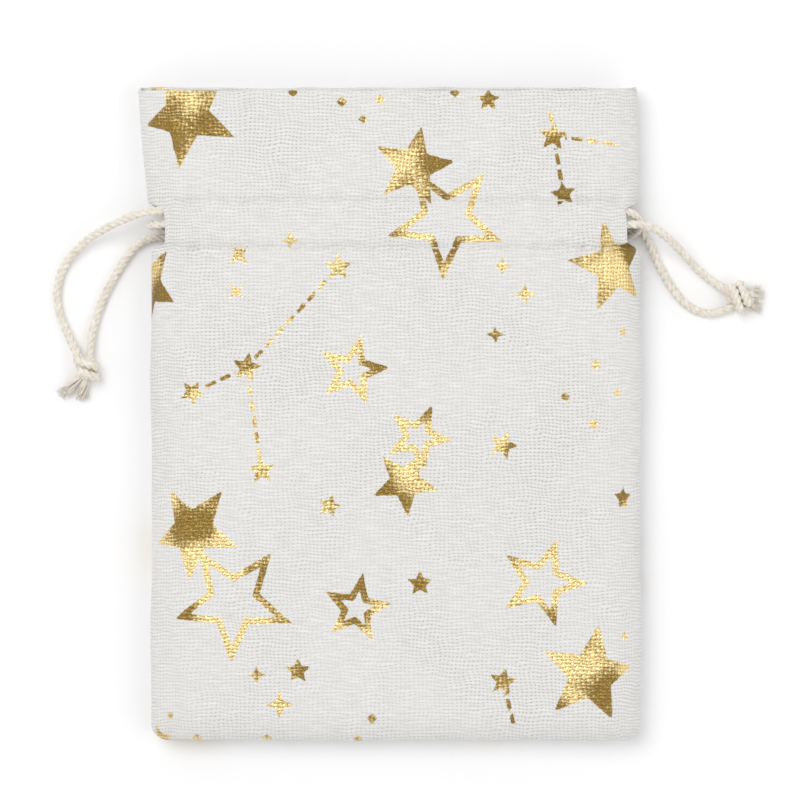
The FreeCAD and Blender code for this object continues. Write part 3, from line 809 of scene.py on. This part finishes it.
def woven_cotton(name, cloth, foil=None):
    """Plain weave on the cloth's flat coordinates: warp and weft are rows of rounded threads that pass over
    and under each other in turn, with small holes between them. A thread's height is the sine of its place
    to the power 0.6, raised where it lies over the other. The holes and the grooves between the threads are
    darkened with painted shade. The foil lies on the threads' tops where the distance attribute is below 0,
    and breaks over the holes; its gold carries painted highlights and painted dark reflections, and painted
    shade over the holes."""
    f = Finish(name, cloth.colour, CLOTH_ROUGHNESS)
    flat = f.flat()
    split = f.node("ShaderNodeSeparateXYZ", Vector=flat)
    drift = f.math("SUBTRACT", f.noise(flat, 0.16, 1.0), 0.5)
    slip = f.math("SUBTRACT", f.noise(flat, 0.55, 2.0), 0.5)
    u_off = f.math("MULTIPLY_ADD", drift, 2.2, f.math("MULTIPLY", slip, 0.45))
    v_off = f.math("MULTIPLY_ADD", slip, 0.55, f.math("MULTIPLY", drift, 1.6))
    u = f.math("ADD", split.outputs["X"], u_off)
    v = f.math("ADD", split.outputs["Y"], v_off)
    warp = f.math("SINE", f.math("MULTIPLY", u, float(np.pi / (cloth.thread_across / MM))))
    weft = f.math("SINE", f.math("MULTIPLY", v, float(np.pi / (cloth.thread_along / MM))))
    over = f.math("MULTIPLY", warp, weft)

    def thread_top(place, lift):
        rounded = f.math("POWER", f.math("ABSOLUTE", place), 0.6)
        return f.math("MULTIPLY", rounded, f.math("MULTIPLY_ADD", over, lift, 0.7))

    height = f.math("MAXIMUM", thread_top(warp, 0.3), thread_top(weft, -0.3))
    fibre = f.noise(flat, 5.0, 3.0)
    slub = f.noise(f.stretched(flat, (0.35, 3.2, 1.0)), 0.8, 2.0)
    relief = f.math("ADD", height, f.math("MULTIPLY_ADD", fibre, 0.22, f.math("MULTIPLY", slub, 0.35)))
    # Painted shade: the grooves between the weft rows and the holes between the threads are darkened towards
    # a darker tint of the cotton, more in some patches than in others.
    groove_shade = f.ramp(f.math("ABSOLUTE", weft), 0.05, 0.6, 0.30, 0.0)
    gap_shade = f.math("MAXIMUM", f.ramp(height, 0.28, 0.60, 1.0, 0.0), groove_shade)
    shade_patch = f.noise(flat, 0.045, 3.0)
    shade = f.math("MULTIPLY", gap_shade, f.ramp(shade_patch, 0.3, 0.7, 0.40, 1.0))
    light = tinted(cloth.colour, 1.03, 1.03, 1.03)
    dull = tinted(cloth.colour, 0.90, 0.885, 0.86)
    gap_shade_colour = tinted(cloth.colour, 0.52, 0.50, 0.47)
    colour = f.mix(f.ramp(f.math("ADD", slub, fibre), 0.75, 1.25), light, dull)
    colour = f.mix(shade, colour, gap_shade_colour)
    normal = f.bump(relief, 0.00016, 0.75)
    f.set(Sheen_Weight=0.12, Sheen_Roughness=0.5, Specular_IOR_Level=0.25)
    if foil is None:
        return f.set(Base_Color=colour, Normal=normal)

    distance = f.node("ShaderNodeAttribute")
    distance.attribute_name = "foil_distance"
    ragged = f.math("MULTIPLY_ADD", slip, 0.35, f.math("MULTIPLY_ADD", height, -0.30, 0.07))
    edge = f.math("ADD", distance.outputs["Fac"], ragged)
    on = f.ramp(edge, -0.05, 0.06, 1.0, 0.0)
    worn = f.ramp(f.math("MULTIPLY_ADD", fibre, 0.35, height), 0.40, 0.58)
    thin = f.ramp(f.noise(flat, 0.12, 2.0), 0.50, 0.66, 0.10, 0.75)
    lost = f.math("MULTIPLY", thin, f.math("SUBTRACT", 1.0, worn))
    share = f.math("MULTIPLY", on, f.math("SUBTRACT", 1.0, lost), clamp=True)
    # Painted highlights and painted dark reflections: the gold runs from a deep to a bright tint over slow
    # patches, slanted streaks and the threads' tops.
    highlight_streak = f.noise(f.stretched(flat, (0.55, 1.5, 1.0), turn=0.5), 1.15, 2.0)
    region = f.noise(flat, 0.075, 1.0)
    rows = f.math("MULTIPLY_ADD", height, 0.28, f.math("MULTIPLY", highlight_streak, 0.62))
    highlight_mask = f.math("MULTIPLY_ADD", region, 2.6, rows)
    dark_reflection_gold = tinted(foil.colour, 0.50, 0.47, 0.38)
    highlight_gold = tinted(foil.colour, 1.58, 1.80, 2.7)
    gold = f.mix(f.ramp(highlight_mask, 1.55, 1.98), dark_reflection_gold, highlight_gold)
    # Painted shade: the foil is darkened over the holes and grooves between the threads.
    gold = f.mix(f.math("MULTIPLY", gap_shade, 0.7), gold, tinted(foil.colour, 0.28, 0.28, 0.28))
    crinkle = f.noise(flat, 2.3, 3.0)
    foil_normal = f.bump(f.math("ADD", crinkle, height), 0.00019, 1.0)
    return f.set(
        Base_Color=f.mix(share, colour, gold),
        Metallic=share,
        Roughness=f.math("MULTIPLY_ADD", share, FOIL_ROUGHNESS - CLOTH_ROUGHNESS, CLOTH_ROUGHNESS),
        Normal=f.mix(share, normal, foil_normal, kind="VECTOR"),
    )


def spun_cotton(name, colour, pitch, depth):
    """Cotton yarn on a cord's flat coordinates: fine fibres that run aslant along it, with warm and pale
    flecks."""
    f = Finish(name, colour, 0.85)
    flat = f.flat()
    fibre = f.noise(f.stretched(flat, (0.7, 4.0, 1.0), turn=0.65), pitch, 3.0)
    fleck = f.noise(flat, 0.8, 2.0)
    pale = tinted(colour, 1.08, 1.08, 1.08)
    warm = tinted(colour, 0.84, 0.79, 0.71)
    both = f.math("MULTIPLY_ADD", fleck, 0.7, f.math("MULTIPLY", fibre, 0.6))
    return f.set(
        Base_Color=f.mix(f.ramp(both, 0.42, 0.85), warm, pale), Normal=f.bump(fibre, depth, 0.8),
        Sheen_Weight=0.2, Sheen_Roughness=0.45, Specular_IOR_Level=0.3,
    )


def material(name, make):
    """The material of that name, made once."""
    return bpy.data.materials.get(name) or make(name)


def cloth_material():
    scene = bpy.context.scene
    return material("printed_cotton", lambda n: woven_cotton(n, scene.sack_cloth, scene.sack_foil))


def plain_cloth_material():
    return material("plain_cotton", lambda n: woven_cotton(n, bpy.context.scene.sack_cloth))


def cord_material():
    colour = bpy.context.scene.sack_cord.colour
    return material("twisted_cotton", lambda n: spun_cotton(n, colour, 2.4, 0.0001))


def thread_material():
    return material("sewing_cotton", lambda n: spun_cotton(n, THREAD_COLOUR, 5.0, 0.00004))


# --- Operators ---

SIDES = (("left", -1), ("right", 1))


def stand_for(piece, slot, *nodes):
    """Hides those CAD nodes, whose place the piece takes. The slot is not used."""
    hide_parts(*nodes)


def follow_neck(piece):
    """Bakes the piece's placement into its mesh."""
    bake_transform(piece)


class SACK_OT_cloth(bpy.types.Operator):
    """Make the printed pouch and the header with its turned-in facing"""

    bl_idname = "gift_sack.cloth"
    bl_label = "Cloth"

    def execute(self, context):
        cloth, line = context.scene.sack_cloth, context.scene.sack_foil.line / MM
        thick, pucker = cloth.thickness / MM, cloth.pucker / MM
        parts = (
            ("pouch", pouch_points, ("side", "first"), ("panel",)),
            ("header", header_points, ("side", "last"), ("neck", "facing")),
        )
        for face, step in (("front", cloth.step / MM), ("back", cloth.back_step / MM)):
            for name, side in SIDES:
                for part, make, rims, nodes in parts:
                    outer, flat = make(face, side, step, pucker)
                    layout = flat if face == "front" else flat * (1, -1) - (0, 1.5)
                    foil = foil_distance(layout, line)
                    points, faces, uv, prints = two_layers(outer, flat, foil, face, thick, rims)
                    piece = make_piece(
                        f"{face}_{part}_{name}", points, faces, cloth_material(), uv, prints,
                    )
                    follow_neck(piece)
                    stand_for(piece, "cotton_cloth", *(f"{face}_{node}" for node in nodes))
        return {"FINISHED"}


class SACK_OT_seams(bpy.types.Operator):
    """Make the turned-in seam allowances inside the pouch and the header"""

    bl_idname = "gift_sack.seams"
    bl_label = "Seam allowances"

    def execute(self, context):
        thick = context.scene.sack_cloth.thickness / MM
        x = np.linspace(-HALF_WIDTH + 4.6, HALF_WIDTH - 4.6, 150)
        bottom = np.column_stack([x, 0 * x + BOTTOM_Y + SEAM_INSET])
        jobs = [("bottom_seam", None, 0, False, bottom, (0, 1, 0))]
        for name, side in SIDES:
            for part, y in (
                ("side", np.linspace(BOTTOM_Y + 3.6, LOWER_ROW_Y - 1.0, 160)),
                ("neck", np.linspace(UPPER_ROW_Y + 0.4, MOUTH_Y["front"] - 1.4, 50)),
            ):
                line = np.column_stack([side * (half_width(y, side) - SEAM_INSET), y])
                jobs.append((f"{name}_{part}_seam", name, side, part == "neck", line, (-side, 0, 0)))
        for node, name, side, above, line, inward in jobs:
            line = np.column_stack([line, np.full(len(line), SEAM_Z)])
            points, faces, uv = seam_strip(line, inward, SEAM_WIDTH, thick, SEAM_RIPPLE)
            piece = make_piece(f"{node}_cloth", points, faces, plain_cloth_material(), uv)
            if name is None:
                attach(piece, "sack")
            else:
                follow_neck(piece)
            stand_for(piece, "cotton_cloth", node)
        return {"FINISHED"}


class SACK_OT_stitching(bpy.types.Operator):
    """Make the rows of stitches along the channel and the seams"""

    bl_idname = "gift_sack.stitching"
    bl_label = "Stitching"

    def execute(self, context):
        pucker = context.scene.sack_cloth.pucker / MM
        at = np.arange(STITCH_PITCH / 2, FACING_HALF - 0.6, STITCH_PITCH)

        def seam_stitches(node, x, y, direction):
            centres = np.column_stack([x, y, 0 * y])
            points, faces, uv = stitch_row(
                centres, direction, 2.2, 0.2, lambda at_x, at_y: 0 * at_x + SEAM_Z + THREAD_RISE,
            )
            piece = make_piece(f"{node}_threads", points, faces, thread_material(), uv)
            stand_for(piece, "sewing_thread", node)
            return piece

        for name, side in SIDES:
            for face in ("front", "back"):
                def outer_face(x, y, face=face):
                    return face_z(x, y, face, pucker)

                for row, y, above in (("upper", UPPER_ROW_Y, True), ("lower", LOWER_ROW_Y, False)):
                    centres = np.column_stack([side * at, np.full(len(at), y), 0 * at])
                    points, faces, uv = stitch_row(centres, (1, 0, 0), 1.9, 0.16, outer_face)
                    if face == "back":
                        level = outer_face(points[:, 0], points[:, 1])
                        points[:, 2] = np.maximum(2 * level - points[:, 2], 0.02)
                        faces = faces[:, ::-1]
                    piece = make_piece(
                        f"{face}_channel_{row}_stitches_{name}", points, faces, thread_material(), uv,
                    )
                    follow_neck(piece)
                    stand_for(piece, "sewing_thread", f"{face}_channel_{row}_stitching")
            for node, low, high, above in (
                (f"{name}_side_stitching", BOTTOM_Y + 5, LOWER_ROW_Y - 2, False),
                (f"{name}_neck_stitching", UPPER_ROW_Y + 1.6, MOUTH_Y["front"] - 2, True),
            ):
                y = np.arange(low, high, STITCH_PITCH)
                x = side * (half_width(y, side) - STITCH_INSET)
                follow_neck(seam_stitches(node, x, y, (0, 1, 0)))
        x = np.arange(-43.2, 44, STITCH_PITCH)
        y = np.full(len(x), BOTTOM_Y + STITCH_INSET)
        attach(seam_stitches("bottom_stitching", x, y, (1, 0, 0)), "sack")
        return {"FINISHED"}


CORDS = {
    "left": {
        "side": -1, "upper": LEFT_UPPER, "round": LEFT_ROUND, "lower": LEFT_LOWER,
        "axis": (-0.22, -0.97, 0), "lean": -0.38, "crossing": 1, "fuller": 1.14, "shift": (0.2, 0.3, 0),
        "tails": [((-64.4, 8.0, 2.3), (-68.6, 3.6, 1.0)), ((-63.6, 7.8, 2.0), (-64.7, 2.7, 0.95))],
    },
    "right": {
        "side": 1, "upper": RIGHT_UPPER, "round": RIGHT_ROUND, "lower": RIGHT_LOWER,
        "axis": (0.99, -0.05, 0), "lean": -0.38, "crossing": -1, "fuller": 1.12, "shift": (-0.5, 0.6, 0),
        "tails": [((71.6, 24.2, 2.3), (75.2, 25.0, 1.0)), ((71.6, 22.4, 2.0), (75.0, 21.4, 0.95))],
    },
}


class SACK_OT_cords(bpy.types.Operator):
    """Make the two twisted cords, each from knot to knot round the channel, with its knot and tails"""

    bl_idname = "gift_sack.cords"
    bl_label = "Cords and knots"

    def execute(self, context):
        cord = context.scene.sack_cord
        radius, lay = cord.diameter / MM / 2, cord.lay / MM
        for name, facts in CORDS.items():

            def add(piece_name, shape, node):
                points, faces, uv = shape
                piece = make_piece(f"{name}_{piece_name}", points, faces, cord_material(), uv)
                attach(piece, f"{name}_cord")
                stand_for(piece, "cotton_cord", f"{name}_cord_{node}")
                return piece

            knot_low, knot_high = box_mm(f"{name}_cord_knot")
            centre = (knot_low + knot_high) / 2 + np.array(facts["shift"])
            size = (knot_high - knot_low) / 2
            along = 1 if abs(facts["axis"][1]) > 0.5 else 0  # the knot's long way, y or x
            half = (size[along] * facts["fuller"], size[1 - along] * facts["fuller"], size[2])
            tubes = wrapped_knot(centre, facts["axis"], half, radius, lay, facts["lean"], facts["crossing"])
            knot = add("tied_knot", tube_parts(tubes), "knot")
            for k, order in enumerate(("first", "second")):
                start, end = facts["tails"][k]
                fibres = frayed_tail(start, end, radius * 0.95, 11 + 7 * k + facts["side"])
                add(f"{order}_frayed_tail", tube_parts(fibres), f"{order}_tail")
            whole = spline_points(f"{name}_cord_route", facts["upper"] + facts["round"] + facts["lower"])
            line, run = evenly(whole, CORD_STEP)
            grid, uv = twisted_tube(line, run, radius, lay)
            inside = np.flatnonzero(facts["side"] * line[:, 0] < CORD_EXIT_X - INSIDE_RUN)
            first, last = int(inside[0]), int(inside[-1])
            for part, stretch in (
                ("upper_strand", slice(0, first + 1)),
                ("channel_run", slice(first, last + 1)),
                ("lower_strand", slice(last, len(line))),
            ):
                piece = add(f"twisted_{part}", capped(grid[stretch], uv[stretch]), part)
                if part == "channel_run":
                    continue
        return {"FINISHED"}


class SACK_OT_stage(bpy.types.Operator):
    """Make the floor, the soft lamps, the surroundings and the camera that looks straight down"""

    bl_idname = "gift_sack.stage"
    bl_label = "Stage"

    def execute(self, context):
        scene, stage = context.scene, context.scene.sack_stage
        edge = np.linspace(-1500.0, 1500.0, 3)
        x, y = np.meshgrid(edge, edge)
        floor_points = np.stack([x, y, np.full_like(x, -0.05)], axis=2)
        f = Finish("pale_floor", stage.floor, 0.9)
        place = f.node("ShaderNodeTexCoord").outputs["Object"]
        grain = f.noise(place, 900.0, 2.0)
        f.set(Normal=f.bump(grain, 0.00004, 0.3), Specular_IOR_Level=0.2)
        floor = make_piece("floor", floor_points.reshape(-1, 3), quads(3, 3)[:, ::-1], f.material)

        world = bpy.data.worlds.new("surroundings")
        world.use_nodes = True
        tree = world.node_tree
        background = tree.nodes["Background"]
        direction = tree.nodes.new("ShaderNodeTexCoord").outputs["Generated"]
        split = tree.nodes.new("ShaderNodeSeparateXYZ")
        tree.links.new(direction, split.inputs[0])
        fade = tree.nodes.new("ShaderNodeValToRGB")
        horizon, overhead = fade.color_ramp.elements
        horizon.position, horizon.color = 0.45, (0.9, 0.9, 0.9, 1)
        overhead.position, overhead.color = 1.0, (0.34, 0.34, 0.345, 1)
        tree.links.new(split.outputs["Z"], fade.inputs[0])
        tree.links.new(fade.outputs[0], background.inputs["Color"])
        background.inputs["Strength"].default_value = stage.sky
        scene.world = world

        for name, spot, size, power in (
            ("key_lamp", (-0.30, 0.28, 0.93), 0.7, stage.key_power),
            ("fill_lamp", (0.55, -0.15, 0.8), 0.7, stage.key_power * 0.35),
        ):
            lamp = bpy.data.lights.new(name, "AREA")
            lamp.shape, lamp.size, lamp.energy = "DISK", size, power
            holder = bpy.data.objects.new(name, lamp)
            holder.location = spot
            holder.rotation_mode = "QUATERNION"
            holder.rotation_quaternion = (-Vector(spot)).to_track_quat("-Z", "Y")
            scene.collection.objects.link(holder)

        eye = bpy.data.cameras.new("straight_down")
        eye.lens, eye.sensor_width = 198.0, 36.0
        eye.clip_start, eye.clip_end = 0.05, 20.0
        camera = bpy.data.objects.new("straight_down", eye)
        camera.location = (0.0008, 0.0027, 0.905)
        scene.collection.objects.link(camera)
        scene.camera = camera
        scene.view_settings.view_transform = "Standard"
        return {"FINISHED"}


STEPS = (SACK_OT_stage, SACK_OT_cords, SACK_OT_cloth, SACK_OT_seams, SACK_OT_stitching)


class SACK_PT_panel(bpy.types.Panel):
    """Sizes and colours of the sack, and a button for each group of pieces"""

    bl_label = "Gift Sack"
    bl_idname = "SACK_PT_panel"
    bl_space_type = "VIEW_3D"
    bl_region_type = "UI"
    bl_category = "Gift Sack"

    def draw(self, context):
        for group, kind in SETTINGS.items():
            box = self.layout.box()
            for setting in kind.__annotations__:
                box.prop(getattr(context.scene, group), setting)
        for step in STEPS:
            self.layout.operator(step.bl_idname)


CLASSES = (*SETTINGS.values(), *STEPS, SACK_PT_panel)


def register():
    for kind in CLASSES:
        bpy.utils.register_class(kind)
    for name, kind in SETTINGS.items():
        setattr(bpy.types.Scene, name, bpy.props.PointerProperty(type=kind))


def unregister():
    for name in SETTINGS:
        delattr(bpy.types.Scene, name)
    for kind in reversed(CLASSES):
        bpy.utils.unregister_class(kind)


def main():
    """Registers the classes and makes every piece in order."""
    register()
    bpy.ops.gift_sack.stage()
    bpy.ops.gift_sack.cords()
    bpy.ops.gift_sack.cloth()
    bpy.ops.gift_sack.seams()
    bpy.ops.gift_sack.stitching()


if __name__ == "__main__":
    main()
